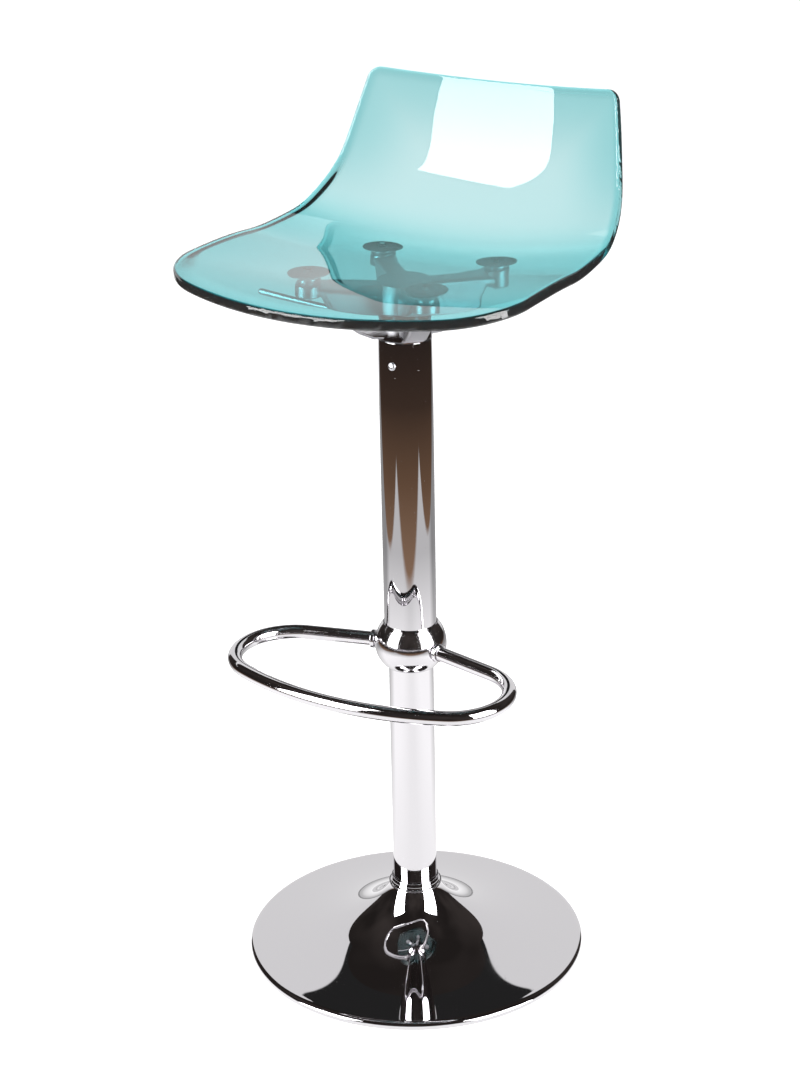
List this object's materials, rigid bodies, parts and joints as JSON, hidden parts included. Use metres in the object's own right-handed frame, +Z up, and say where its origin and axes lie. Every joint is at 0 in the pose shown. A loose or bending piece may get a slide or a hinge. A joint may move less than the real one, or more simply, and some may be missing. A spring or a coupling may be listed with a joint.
{
  "type": "bar stool",
  "caption": "Height-adjustable swivel bar stool: tinted clear scoop seat on a gas-lift chrome column with a loop footrest, a side lever and a round trumpet base.",
  "frame": {"origin": "on the floor, on the column's axis", "axes": "+Z up along the column, -Y towards the seat's front, the lever on the -X side"},
  "size_m": [0.4, 0.4506, 0.9719],
  "materials": {
    "chrome": "bright polished plating",
    "steel": "plain zinc-plated or ground steel",
    "clear_seat": "clear teal acrylic, polished",
    "nylon": "plain moulded",
    "rubber": "matt"
  },
  "bodies": {
    "base": {"base_dome": "chrome", "base_plate": "steel", "floor_ring": "rubber", "base_collar": "chrome", "stand_tube": "chrome", "tube_foot": "steel", "flange_bolt_1": "steel", "flange_bolt_2": "steel", "flange_bolt_3": "steel", "flange_bolt_4": "steel", "guide_sleeve": "nylon", "thrust_washer_lower": "steel", "thrust_bearing": "steel"},
    "spindle": {"piston_rod": "steel", "piston": "steel", "thrust_washer_upper": "steel", "rod_clip": "steel", "stop_buffer": "rubber"},
    "seat": {"seat_shell": "clear_seat", "seat_spider": "chrome", "cover_tube": "chrome", "gas_cylinder": "steel", "rod_gland": "nylon", "footrest_ball": "chrome", "footrest_loop": "chrome", "footrest_ferrule_left": "chrome", "footrest_ferrule_right": "chrome", "guide_ring": "nylon", "tube_screw_front": "steel", "tube_screw_back": "steel", "lever_pin": "steel", "support_post_front_right": "chrome", "support_post_front_left": "chrome", "support_post_back_right": "chrome", "support_post_back_left": "chrome", "seat_screw_front_right": "steel", "seat_screw_front_left": "steel", "seat_screw_back_right": "steel", "seat_screw_back_left": "steel"},
    "lever": {"lever_rod": "chrome"},
    "valve": {"valve_pin": "steel"}
  },
  "joints": [
    {"name": "swivel", "type": "hinge", "parent": "base", "child": "spindle", "pos_m": [0, 0, 0.0333], "axis": [0, 0, 1], "continuous": true},
    {"name": "lift", "type": "slide", "parent": "spindle", "child": "seat", "axis": [0, 0, 1], "range_m": [-0.21, 0]},
    {"name": "lever_tilt", "type": "hinge", "parent": "seat", "child": "lever", "pos_m": [-0.02, 0, 0.7522], "axis": [0, 1, 0], "range_deg": [0, 8], "stiffness_Nm_per_rad": 1.5},
    {"name": "valve_press", "type": "slide", "parent": "seat", "child": "valve", "axis": [0, 0, -1], "range_m": [0, 0.0035]}
  ],
  "couplings": [
    {"joint": "valve_press", "follows": "lever_tilt", "m_per_rad": 0.0205}
  ]
}
